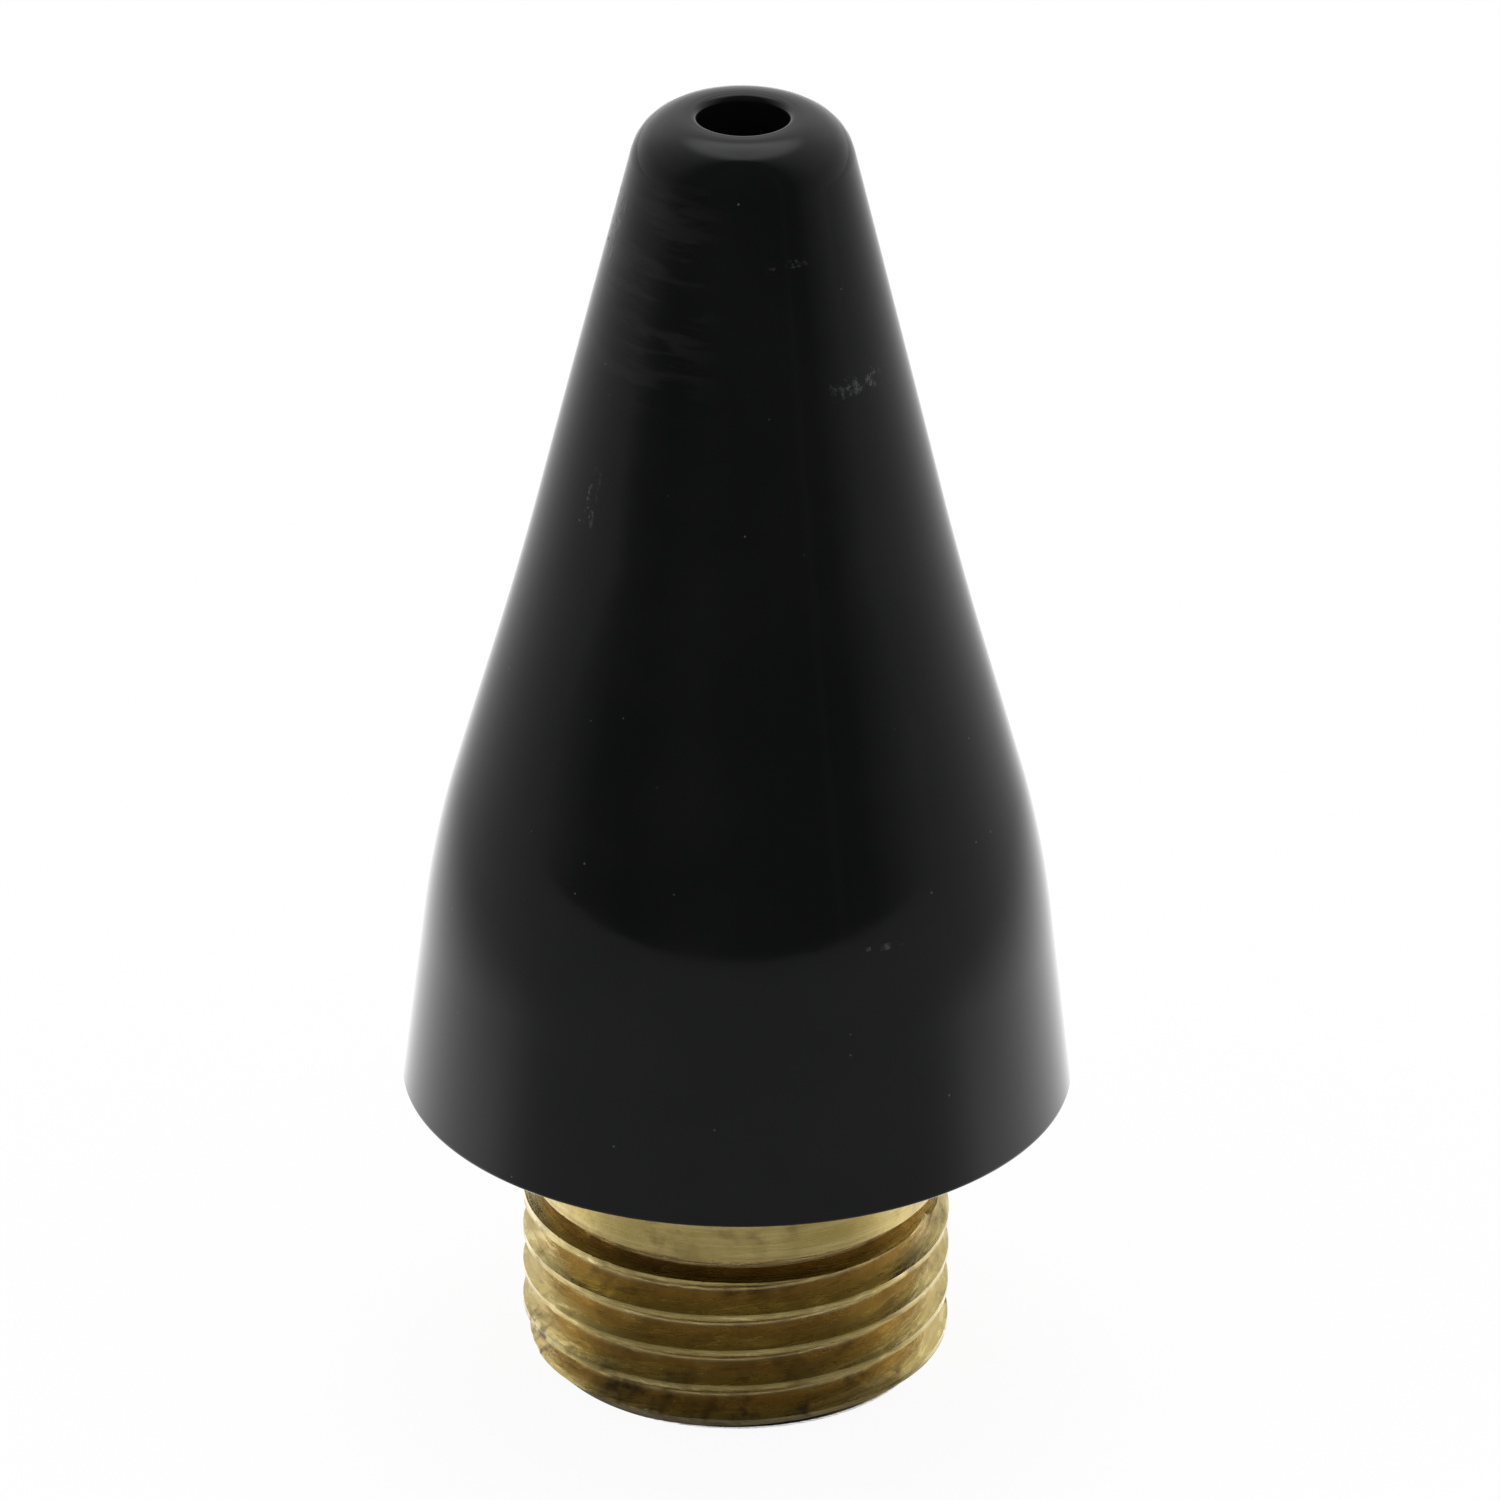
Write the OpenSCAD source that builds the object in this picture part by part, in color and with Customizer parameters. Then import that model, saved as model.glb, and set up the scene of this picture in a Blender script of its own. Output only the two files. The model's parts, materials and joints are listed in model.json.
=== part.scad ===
// Pneumatic muffler: a conical exhaust silencer on a brass G1/8 spigot.
// Millimetres. The axis is +Z and the origin is the centre of the brass end face.
// The shell unscrews from the spigot, and the filter pack then lifts out.

/* [Pipe thread] */
// Outside diameter of the G1/8 pipe thread
pipe_d = 9.728; // [9.5:0.001:9.8]
// Pitch of the pipe thread
pipe_pitch = 0.907; // [0.8:0.001:1]
// Depth of the pipe thread
pipe_depth = 0.58; // [0.4:0.01:0.6]
// Length of the pipe thread, from the end face to the relief groove
pipe_len = 4.04; // [3:0.01:9]
// Length of the lead-in chamfer at the end face
pipe_lead = 0.5; // [0.3:0.01:0.8]
// Width of the relief groove between the thread and the collar
relief_w = 0.46; // [0.3:0.01:1]
// Diameter of the plain collar
collar_d = 9.38; // [9:0.01:9.5]
// Length of the collar that shows below the shell
collar_len = 2.46; // [1:0.01:6]
// Diameter of the inlet bore
inlet_d = 5.8; // [4:0.1:6.4]

/* [Shell outline] */
// Height of the shell, from its bottom face to its tip
shell_len = 23.8; // [22.5:0.1:36]
// Diameter of the shell at its bottom face
base_d = 15.26; // [15:0.1:20]
// Half angle of the skirt, in degrees
skirt_angle = 6.76; // [3:0.01:8]
// Height at which the skirt meets the shoulder
shoulder_h = 5.82; // [5.5:0.01:8]
// Half angle of the shoulder, in degrees
shoulder_angle = 16.17; // [12:0.01:17]
// Height at which the shoulder meets the nose
waist_h = 12.53; // [11:0.01:14]
// Diameter of the nose at the tip, before its edge is rounded
tip_d = 4.52; // [4.5:0.01:7]
// Blend radius between the skirt and the shoulder
shoulder_blend = 22; // [5:1:30]
// Blend radius between the shoulder and the nose
waist_blend = 90; // [10:1:120]
// Radius of the rounded edge round the tip
tip_round = 1.2; // [0.3:0.05:1.2]
// Diameter of the outlet
outlet_d = 2; // [1:0.1:2.4]

/* [Shell thread] */
// Outside diameter of the fine thread between the spigot and the shell
head_d = 11; // [10.8:0.1:11.2]
// Pitch of the fine thread
head_pitch = 1; // [0.8:0.05:1]
// Depth of the fine thread
head_depth = 0.61; // [0.4:0.01:0.62]
// Length of the spigot's head, from the seal groove to its top face
head_len = 5; // [4.5:0.1:5.4]

/* [Seal] */
// Thickness of the O-ring as it sits squeezed in its groove
seal_d = 1.05; // [0.8:0.05:1.3]
// Height of the flange below the seal
flange_h = 0.5; // [0.4:0.05:0.8]

/* [Inlet strainer] */
// Diameter of the counterbore that holds the sintered disc
strainer_d = 7.6; // [7:0.1:7.8]
// Thickness of the sintered disc
strainer_t = 1.5; // [1:0.1:1.8]
// Thickness of the snap ring
snap_t = 0.5; // [0.4:0.05:0.6]

/* [Filter pack] */
// Outside diameter of the felt sleeve
sleeve_d = 8.2; // [7.8:0.1:8.4]
// Outside diameter of the perforated tube
tube_d = 4; // [3.2:0.1:4.8]
// Wall of the perforated tube
tube_wall = 0.4; // [0.3:0.05:0.6]
// Diameter of the holes in the tube
hole_d = 0.8; // [0.5:0.05:0.8]
// Thickness of the seat washer
seat_washer_t = 0.6; // [0.4:0.05:1]
// Thickness of the front retainer
retainer_t = 0.5; // [0.3:0.05:0.8]

/* [Spring] */
// Wire diameter of the spring
wire_d = 0.4; // [0.3:0.05:0.5]
// Length of the spring as fitted
spring_len = 3.9; // [3:0.1:5]
// Turns of the spring, with its two closed end turns
spring_turns = 6; // [5:1:7]
// Thickness of the thrust washer
thrust_t = 0.5; // [0.3:0.05:1]

/* [Nose] */
// Length of the nose ahead of the thrust washer
nose_len = 7.6; // [6:0.1:9]
// Length of the outlet bore
outlet_len = 3.9; // [2:0.1:4.5]
// Diameter of the outlet screen
screen_d = 3.2; // [3:0.1:3.6]
// Thickness of the outlet screen
screen_t = 0.3; // [0.2:0.05:0.5]

/* [Hidden] */
$fn = 96;

// Clearances on a side
fit_gap = 0.04;      // between pieces that drop into each other
press_gap = 0.01;    // between pieces that are pressed together
turn_gap = 0.1;      // between the turning shell and what is inside it
flank_gap = 0.06;    // between the flanks of the two fine threads
seal_gap = 0.03;     // between the seal and the skirt's bore
edge = 0.12;         // small broken edges
vent_wall = 0.2;     // metal on each side of a vent in the front retainer

// Threads
crest_flat = 0.15;        // width of a crest
thread_steps = 40;        // facets in one turn
overcut = 0.05;           // how far a thread cut stands outside the crests
pipe_flank = 27.5;        // half of the pipe thread's 55 degree angle
head_flank = 30;          // half of the fine thread's 60 degree angle
pipe_phase = -0.72;       // height of the first groove where it crosses the +X side
pipe_r = pipe_d / 2;
head_r = head_d / 2;
head_root_r = head_r - head_depth;
collar_z = pipe_len + relief_w;
relief_r = pipe_r - 0.9 * pipe_depth;

// Heights of the spigot's steps
base_z = collar_z + collar_len;
flange_z = base_z + 0.3;
gland_z = flange_z + flange_h;
head_z = gland_z + seal_d + 4 * fit_gap;
head_top_z = head_z + head_len;
head_chamfer = 0.6;
thread_start = 0.6;       // from the seal groove to the middle of the first groove
thread_entry = 1.05;      // from the seal groove to the bottom of the shell's thread
strainer_z = head_top_z - 4.3;
snap_z = strainer_z + strainer_t + fit_gap;

// Radii of the spigot and its seal
skirt_bore_r = head_r + 0.45;
flange_r = skirt_bore_r - turn_gap;
seal_mid_r = skirt_bore_r - seal_gap - seal_d / 2;
gland_r = seal_mid_r - seal_d / 2 - press_gap;
collar_r = collar_d / 2;
inlet_r = inlet_d / 2;
strainer_r = strainer_d / 2;
snap_groove_r = strainer_r + 0.3;

// Filter pack, outwards from the tube
tube_r = tube_d / 2;
tube_bore_r = tube_r - tube_wall;
sleeve_r = sleeve_d / 2;
plug_r = tube_r + 0.3;
coil_r = plug_r + turn_gap + wire_d / 2;
coil_out_r = coil_r + wire_d / 2;
spring_bore_r = coil_out_r + 2 * turn_gap;
throat_r = coil_r - 2 * wire_d;
retainer_r = sleeve_r - turn_gap;
vent_r = (retainer_r - coil_out_r) / 2 - vent_wall;

// Heights of the shell and the filter pack
tip_z = base_z + shell_len;
spring_seat_z = tip_z - nose_len;
thrust_z = spring_seat_z - thrust_t;
spring_z = thrust_z - spring_len;
retainer_z = spring_z - retainer_t;
sleeve_z = head_top_z + seat_washer_t;
sleeve_len = retainer_z - sleeve_z;
screen_top_z = tip_z - outlet_len;
screen_z = screen_top_z - screen_t;
plug_stem = 1;

// Shell inside
cavity_r = sleeve_r + turn_gap;
shell_root_r = head_r + flank_gap;
shell_crest_r = head_root_r + turn_gap;
shell_relief_r = shell_root_r + press_gap;
shell_thread_z = head_z + thread_entry;
shell_relief_z = head_top_z - 0.3;
cavity_cone = 3.3;        // height of the cone between the cavity and the spring's bore
outlet_r = outlet_d / 2;
screen_r = screen_d / 2;

// Shell outside, as radii at the corners of its outline
base_r = base_d / 2;
shoulder_r = base_r - shoulder_h * tan(skirt_angle);
waist_r = shoulder_r - (waist_h - shoulder_h) * tan(shoulder_angle);
tip_r = tip_d / 2;

function unit(v) = v / norm(v);

// Points of an arc of radius r that rounds the corner p between the points a and b
function blend(a, p, b, r, n) =
  let (
    u = unit(a - p),
    v = unit(b - p),
    half = acos(u * v) / 2,
    centre = p + unit(u + v) * r / sin(half),
    start = p + u * r / tan(half) - centre,
    stop = p + v * r / tan(half) - centre,
    from = atan2(start[1], start[0]),
    turn = atan2(cross(start, stop), start * stop)
  )
  [for (i = [0 : n]) centre + r * [cos(from + turn * i / n), sin(from + turn * i / n)]];

// A point at radius r and height z, on the side at angle a
function at(r, z, a) = [r * cos(a), r * sin(a), z];

// A closed tube of n + 1 rings of k points each, from a flat list of points
module tube(points, n, k) {
  sides = [for (i = [0 : n - 1]) for (j = [0 : k - 1]) let (m = (j + 1) % k) each [
    [k * i + j, k * i + k + j, k * i + m],
    [k * i + m, k * i + k + j, k * i + k + m]]];
  first = [for (j = [0 : k - 1]) j];
  last = [for (j = [k - 1 : -1 : 0]) k * n + j];
  polyhedron(points, concat([first], sides, [last]), convexity = 10);
}

// The body of a helical groove. Its root is at root_r, and its mouth at mouth_r is mouth_w wide.
// The flanks slope by flank degrees, and over the last out turns the groove lifts off by rise.
module groove(root_r, mouth_r, mouth_w, flank, pitch, z, turns, out = 0, rise = 0) {
  n = ceil(turns * thread_steps);
  root_w = mouth_w - 2 * abs(mouth_r - root_r) * tan(flank);
  outward = mouth_r > root_r;
  outer_r = outward ? mouth_r : root_r;
  outer_w = outward ? mouth_w : root_w;
  inner_r = outward ? root_r : mouth_r;
  inner_w = outward ? root_w : mouth_w;
  points = [for (i = [0 : n])
    let (
      a = 360 * i / thread_steps,
      h = z + pitch * i / thread_steps,
      lift = out > 0 ? rise * max(0, 1 - (n - i) / (out * thread_steps)) : 0
    )
    each [
      at(outer_r + lift, h - outer_w / 2, a),
      at(inner_r + lift, h - inner_w / 2, a),
      at(inner_r + lift, h + inner_w / 2, a),
      at(outer_r + lift, h + outer_w / 2, a)]];
  tube(points, n, 4);
}

// A ring of n upright holes of radius r on a circle of radius pcr
module hole_ring(n, pcr, r, z, h) {
  for (i = [0 : n - 1])
    rotate(360 * i / n)
      translate([pcr, 0, z])
        cylinder(r = r, h = h);
}

// A flat ring between the radii r1 and r2
module washer(r1, r2, z, h) {
  rotate_extrude() translate([r1, z]) square([r2 - r1, h]);
}

// Conical shell with its outlet in the tip
module nose_shell() {
  foot = [base_r, base_z + edge];
  shoulder = [shoulder_r, base_z + shoulder_h];
  waist = [waist_r, base_z + waist_h];
  tip = [tip_r, tip_z];
  rim = [outlet_r + edge, tip_z];
  outside = concat(
    [[base_r - edge, base_z], foot],
    blend(foot, shoulder, waist, shoulder_blend, 12),
    blend(shoulder, waist, tip, waist_blend, 8),
    blend(waist, tip, rim, tip_round, 10),
    [rim, [outlet_r, tip_z - edge]]);
  inside = [
    [outlet_r, screen_top_z],
    [screen_r, screen_top_z],
    [screen_r, screen_z],
    [throat_r, spring_seat_z],
    [spring_bore_r, spring_seat_z],
    [spring_bore_r, retainer_z + cavity_cone],
    [cavity_r, retainer_z + 2 * turn_gap + retainer_t],
    [cavity_r, sleeve_z],
    [shell_relief_r, sleeve_z],
    [shell_relief_r, shell_relief_z],
    [shell_crest_r, shell_relief_z],
    [shell_crest_r, shell_thread_z],
    [skirt_bore_r, shell_thread_z],
    [skirt_bore_r, base_z + edge],
    [skirt_bore_r + edge, base_z]];
  mouth_r = shell_crest_r - overcut;
  ridge_w = crest_flat + 2 * (head_r - mouth_r) * tan(head_flank);
  color("#141416") difference() {
    rotate_extrude() polygon(concat(outside, inside));
    groove(shell_root_r, mouth_r, ridge_w + 2 * flank_gap, head_flank, head_pitch,
      head_z + thread_start - head_pitch / 2, (head_len - thread_start) / head_pitch + 0.8);
  }
}

// Turned brass body with the pipe thread below and the shell's thread above
module threaded_spigot() {
  outline = [
    [inlet_r + edge, 0],
    [pipe_r - pipe_lead, 0],
    [pipe_r, pipe_lead],
    [pipe_r, pipe_len],
    [relief_r, pipe_len + relief_w / 4],
    [relief_r, collar_z - relief_w / 4],
    [collar_r, collar_z],
    [collar_r, flange_z],
    [flange_r, flange_z],
    [flange_r, gland_z],
    [gland_r, gland_z],
    [gland_r, head_z],
    [head_r, head_z],
    [head_r, head_top_z - head_chamfer],
    [head_r - head_chamfer, head_top_z],
    [strainer_r, head_top_z],
    [strainer_r, snap_z + snap_t + fit_gap],
    [snap_groove_r, snap_z + snap_t + fit_gap],
    [snap_groove_r, snap_z],
    [strainer_r, snap_z],
    [strainer_r, strainer_z],
    [inlet_r, strainer_z],
    [inlet_r, edge]];
  pipe_mouth = pipe_pitch - crest_flat + 2 * overcut * tan(pipe_flank);
  head_mouth = head_pitch - crest_flat + 2 * overcut * tan(head_flank);
  color("#b39a4a") difference() {
    rotate_extrude() polygon(outline);
    groove(pipe_r - pipe_depth, pipe_r + overcut, pipe_mouth, pipe_flank, pipe_pitch,
      pipe_phase, (collar_z - pipe_phase) / pipe_pitch - 0.2, 0.3, pipe_depth + overcut);
    groove(head_root_r, head_r + overcut, head_mouth, head_flank, head_pitch,
      head_z + thread_start, (head_len - thread_start) / head_pitch + 0.6);
  }
}

// O-ring that seals the spigot in the skirt's bore
module shell_seal() {
  color("#26262a")
    rotate_extrude()
      translate([seal_mid_r, gland_z + 2 * fit_gap + seal_d / 2])
        circle(r = seal_d / 2);
}

// Sintered bronze disc
module inlet_strainer() {
  r = strainer_r - fit_gap;
  top = strainer_z + strainer_t;
  color("#8a6a3c")
    rotate_extrude()
      polygon([[0, strainer_z], [r - edge, strainer_z], [r, strainer_z + edge], [r, top - edge],
        [r - edge, top], [0, top]]);
}

// Snap ring with a gap, sprung into its groove above the disc
module strainer_ring() {
  gap_w = 1.6;
  ring_w = 0.75;
  r = snap_groove_r - fit_gap;
  color("#9a9a9e") difference() {
    washer(r - ring_w, r, snap_z + fit_gap / 2, snap_t);
    translate([0, -gap_w / 2, snap_z - 1]) cube([2 * r, gap_w, snap_t + 2]);
  }
}

// Plain washer that the shell clamps on the spigot's top face
module seat_washer() {
  color("#b8babd") washer(tube_r + fit_gap, head_r - head_chamfer - fit_gap, head_top_z, seat_washer_t);
}

// Perforated tube with a flange below the seat washer
module diffuser_tube() {
  flange_t = 0.4;
  tail = 1;
  top = spring_z;
  bottom = head_top_z - tail;
  row_gap = 0.9;
  row_z = sleeve_z + 0.7;
  rows = floor((spring_z - plug_stem - hole_d / 2 - row_z) / row_gap) + 1;
  color("#a5a7aa") difference() {
    union() {
      washer(tube_bore_r, tube_r, bottom, top - bottom);
      washer(tube_bore_r, tube_r + 0.5, head_top_z - flange_t, flange_t);
    }
    for (i = [0 : rows - 1])
      for (j = [0 : 5])
        translate([0, 0, row_z + row_gap * i])
          rotate([0, 90, 60 * j + 30 * (i % 2)])
            cylinder(r = hole_d / 2, h = 2 * tube_r);
  }
}

// Plug in the far end of the tube
module diffuser_plug() {
  cap_t = 0.5;
  color("#b39a4a")
    rotate_extrude()
      polygon([[0, spring_z - plug_stem], [tube_bore_r - press_gap - edge, spring_z - plug_stem],
        [tube_bore_r - press_gap, spring_z - plug_stem + edge], [tube_bore_r - press_gap, spring_z],
        [plug_r, spring_z], [plug_r, spring_z + cap_t - edge], [plug_r - edge, spring_z + cap_t],
        [0, spring_z + cap_t]]);
}

// Felt sleeve round the tube
module absorber_sleeve() {
  color("#d9d6cb") washer(tube_r + fit_gap, sleeve_r, sleeve_z, sleeve_len);
}

// Perforated washer on the far end of the felt
module front_retainer() {
  color("#b8babd") difference() {
    washer(tube_r + fit_gap, retainer_r, retainer_z, retainer_t);
    hole_ring(8, (coil_out_r + retainer_r) / 2, vent_r, retainer_z - 1, retainer_t + 2);
  }
}

// Compression spring with closed ends ground flat
module pack_spring() {
  ring_steps = 24;
  sides = 6;
  n = spring_turns * ring_steps;
  closed = 1 / spring_turns;
  closed_rise = wire_d + press_gap;
  ground = wire_d / 4;
  body_rise = spring_len - 2 * closed_rise - 2 * ground;
  points = [for (i = [0 : n])
    let (
      t = i / n,
      s = min(1, max(0, (t - closed) / (1 - 2 * closed))),
      ends = closed_rise * (min(t, closed) + max(0, t - 1 + closed)) / closed,
      z = spring_z + ground + ends + body_rise * s,
      a = 360 * i / ring_steps
    )
    for (j = [0 : sides - 1])
      at(coil_r + wire_d / 2 * cos(360 * j / sides), z - wire_d / 2 * sin(360 * j / sides), a)];
  color("#8f9195") intersection() {
    tube(points, n, sides);
    washer(coil_r - wire_d, coil_r + wire_d, spring_z, spring_len);
  }
}

// Slippery washer between the spring and the turning shell
module thrust_washer() {
  color("#e8e6df") washer(coil_r - wire_d, spring_bore_r - turn_gap / 2, thrust_z, thrust_t);
}

// Etched screen pressed in behind the outlet
module outlet_screen() {
  slot_r = outlet_r / 5;
  color("#9a9a9e") difference() {
    washer(0, screen_r - press_gap, screen_z, screen_t);
    hole_ring(1, 0, slot_r, screen_z - 1, screen_t + 2);
    hole_ring(6, 0.65 * outlet_r, slot_r, screen_z - 1, screen_t + 2);
  }
}

nose_shell();
threaded_spigot();
shell_seal();
inlet_strainer();
strainer_ring();
seat_washer();
diffuser_tube();
diffuser_plug();
absorber_sleeve();
front_retainer();
pack_spring();
thrust_washer();
outlet_screen();
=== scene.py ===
import json
import math
import random

import bmesh
import bpy
import numpy as np
from mathutils import Matrix, Vector, noise


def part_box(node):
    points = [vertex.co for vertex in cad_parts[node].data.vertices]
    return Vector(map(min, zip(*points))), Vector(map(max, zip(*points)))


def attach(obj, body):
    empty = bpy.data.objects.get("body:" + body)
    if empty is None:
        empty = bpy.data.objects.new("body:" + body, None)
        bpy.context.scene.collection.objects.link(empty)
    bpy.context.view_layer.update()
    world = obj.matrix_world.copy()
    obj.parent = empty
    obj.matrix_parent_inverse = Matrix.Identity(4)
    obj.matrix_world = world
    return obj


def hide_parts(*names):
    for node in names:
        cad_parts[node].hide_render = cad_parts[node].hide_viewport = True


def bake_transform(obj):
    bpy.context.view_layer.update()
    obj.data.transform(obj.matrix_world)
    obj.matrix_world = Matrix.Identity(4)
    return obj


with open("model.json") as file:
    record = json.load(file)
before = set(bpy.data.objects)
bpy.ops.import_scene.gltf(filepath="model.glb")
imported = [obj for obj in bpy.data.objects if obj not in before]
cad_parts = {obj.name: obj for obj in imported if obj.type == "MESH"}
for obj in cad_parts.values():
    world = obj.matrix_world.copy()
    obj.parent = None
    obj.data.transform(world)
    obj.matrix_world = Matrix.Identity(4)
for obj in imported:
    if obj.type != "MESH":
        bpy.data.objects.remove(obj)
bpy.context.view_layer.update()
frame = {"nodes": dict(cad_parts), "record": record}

MM = 0.001
MOUNTS = {mount["name"]: mount for mount in frame["record"]["mounts"]}
ROOT, WASHER, SHELL = "spigot_and_pack", "lifting_washer", "turning_shell"
COLUMNS = 360  # columns of faces round the turned pieces


def node_range(name):
    """A node's bottom, top and outer radius, in millimetres."""
    low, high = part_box(name)
    return low[2] / MM, high[2] / MM, (high[0] - low[0]) / 2 / MM


def mount_radius(name):
    return MOUNTS[name]["dims"]["r_mm"]


# ---------------------------------------------------------------- sizes, in millimetres

BASE_Z, TIP_Z, BASE_R = node_range("nose_shell")
PIPE_R = mount_radius("pipe_thread")
INLET_R = mount_radius("inlet")
OUTLET_R = mount_radius("outlet")
_, HEAD_TOP_Z, FLANGE_R = node_range("threaded_spigot")
SEAL_LOW, SEAL_HIGH, SEAL_OUT_R = node_range("shell_seal")
STRAINER_LOW, STRAINER_HIGH, STRAINER_R = node_range("inlet_strainer")
SNAP_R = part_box("strainer_ring")[1][1] / MM
SLEEVE_LOW, SLEEVE_HIGH, SLEEVE_R = node_range("absorber_sleeve")
RETAINER_LOW, RETAINER_HIGH, _ = node_range("front_retainer")
SPRING_LOW, SPRING_HIGH, SPRING_R = node_range("pack_spring")
_, THRUST_HIGH, THRUST_R = node_range("thrust_washer")
SCREEN_LOW, SCREEN_HIGH, SCREEN_R = node_range("outlet_screen")

FIT_GAP = 0.04
TURN_GAP = 0.1
FLANK_GAP = 0.06
SLIP = 0.01  # keeps two surfaces that nearly touch apart
TUBE_R = 2.0
WIRE_D = 0.4
INLET_RIM_Z = 0.24  # the inlet bore's first ring above its rounded edge

# Pipe thread, relief groove and collar
PIPE_PITCH = 0.907
PIPE_DEPTH = 0.58
PIPE_FLANK = math.radians(27.5)
PIPE_LEN = 4.04
PIPE_LEAD = 0.5
RELIEF_W = 0.46
RELIEF_R = PIPE_R - 0.9 * PIPE_DEPTH
COLLAR_R = 4.69
COLLAR_Z = PIPE_LEN + RELIEF_W
CREST_FLAT = 0.15
PIPE_GROOVE_Z = -0.72  # a groove's height on the +X side

# Fine thread between the spigot and the shell
HEAD_R = 5.5
HEAD_PITCH = 1.0
HEAD_DEPTH = 0.61
HEAD_FLANK = math.radians(30)
HEAD_CHAMFER = 0.6
GLAND_Z = SEAL_LOW - 2 * FIT_GAP
GLAND_R = SEAL_OUT_R - (SEAL_HIGH - SEAL_LOW) - SLIP
FLANGE_INSET = 0.3
FLANGE_Z = BASE_Z + FLANGE_INSET
HEAD_Z = SEAL_HIGH + 2 * FIT_GAP
HEAD_LEAD = 0.6
HEAD_GROOVE_Z = HEAD_Z + HEAD_LEAD
SHELL_THREAD_LOW = HEAD_Z + 1.05
SHELL_THREAD_HIGH = HEAD_TOP_Z - 0.3

# Shell outline
SKIRT_ANGLE = math.radians(6.76)
SHOULDER_H = 5.82
SHOULDER_ANGLE = math.radians(16.17)
WAIST_H = 12.53
TIP_R = 4.52 / 2
SHOULDER_BLEND = 22
WAIST_BLEND = 90
TIP_ROUND = 1.2
OUTLET_ROUND = 0.16
FOOT_ROUND = 0.1
CAVITY_ROUND = 0.4
SPRING_BORE_RISE = 3.3  # from the retainer up to the start of the spring's bore
SKIRT_BORE_R = FLANGE_R + TURN_GAP
CAVITY_R = SLEEVE_R + TURN_GAP
SPRING_BORE_R = THRUST_R + TURN_GAP / 2
THROAT_R = SPRING_R - 2.5 * WIRE_D


# ---------------------------------------------------------------- mesh tools

def unit(v):
    return v / np.linalg.norm(v)


def rounded(points, steps=6, hold=0.03):
    """A closed outline of (r, z) or (r, z, blend radius) points, with its corners rounded.

    Each round corner gets a point just before and after its arc, so that the flats beside it shade flat."""
    corners = [np.array(p[:2], float) for p in points]
    radii = [p[2] if len(p) > 2 else 0 for p in points]
    outline = []
    for i, (corner, radius) in enumerate(zip(corners, radii)):
        if not radius:
            outline.append(corner)
            continue
        before, after = corners[i - 1], corners[(i + 1) % len(corners)]
        u, v = unit(before - corner), unit(after - corner)
        half = math.acos(float(np.clip(u @ v, -1, 1))) / 2
        reach = radius / math.tan(half)
        centre = corner + unit(u + v) * radius / math.sin(half)
        start, stop = corner + u * reach - centre, corner + v * reach - centre
        first = math.atan2(start[1], start[0])
        turn = math.atan2(start[0] * stop[1] - start[1] * stop[0], float(start @ stop))
        count = max(steps, int(abs(turn) * radius / 0.25))
        if reach + hold < np.linalg.norm(before - corner) * 0.9:
            outline.append(corner + u * (reach + hold))
        for k in range(count + 1):
            a = first + turn * k / count
            outline.append(centre + radius * np.array([math.cos(a), math.sin(a)]))
        if reach + hold < np.linalg.norm(after - corner) * 0.9:
            outline.append(corner + v * (reach + hold))
    return outline


def turned_grid(outline, columns=COLUMNS):
    """Rings of points, one for each (r, z) point of the outline."""
    angle = np.arange(columns) * 2 * math.pi / columns
    rings = [np.stack([r * np.cos(angle), r * np.sin(angle), np.full(columns, z)], 1) for r, z in outline]
    return np.array(rings), 0


def threaded_grid(low, high, pitch, offsets, radius_at, edges=(), columns=COLUMNS, downward=False):
    """A threaded band whose rows of points follow the helix, so that its crests stay crisp.

    offsets are the heights of the rows within one pitch. The rows are cut off at low and high, and
    the nearest row is moved to each height in edges, where the surface has a level corner."""
    turns = range(math.floor(low / pitch) - 2, math.ceil(high / pitch) + 3)
    rows = np.array([pitch * turn + offset for turn in turns for offset in offsets])
    grid = np.zeros((len(rows), columns, 3))
    for i in range(columns):
        angle = 2 * math.pi * i / columns
        z = np.clip(rows + pitch * i / columns, low, high)
        for level in edges:
            z[np.argmin(np.abs(z - level))] = level
        r = radius_at(z, angle)
        grid[:, i] = np.stack([r * math.cos(angle), r * math.sin(angle), z], 1)
    if downward:
        return grid[::-1], -len(offsets)
    return grid, len(offsets)


def grid_faces(rows, columns, shift, start):
    """Faces of one grid. Across the seam, a row meets the row that stands shift rows further on."""
    faces = []
    for j in range(rows - 1):
        for i in range(columns):
            k = (i + 1) % columns
            s = shift if k == 0 else 0
            if 0 <= j + s and j + s + 1 < rows:
                faces.append((start + j * columns + i, start + (j + s) * columns + k,
                              start + (j + s + 1) * columns + k, start + (j + 1) * columns + i))
    return faces


def new_piece(name, points, faces, sharp):
    """A cleaned piece from points in millimetres and the faces between them."""
    mesh = bpy.data.meshes.new(name)
    mesh.from_pydata((np.array(points) * MM).tolist(), [], faces)
    piece = bpy.data.objects.new(name, mesh)
    bpy.context.collection.objects.link(piece)
    tidy_mesh(piece, sharp)
    return piece


def mesh_piece(name, grids, sharp=32):
    """A closed piece from grids that follow each other. The last one meets the first."""
    points, faces, ends = [], [], []
    for grid, shift in grids:
        start = sum(len(p) for p in points)
        rows, columns = grid.shape[:2]
        points.append(grid.reshape(-1, 3))
        faces += grid_faces(rows, columns, shift, start)
        ends.append((start, start + (rows - 1) * columns, columns))
    for (_, last, columns), (first, _, _) in zip(ends, ends[1:] + ends[:1]):
        for i in range(columns):
            k = (i + 1) % columns
            faces.append((last + i, last + k, first + k, first + i))
    return new_piece(name, np.concatenate(points), faces, sharp)


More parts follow.
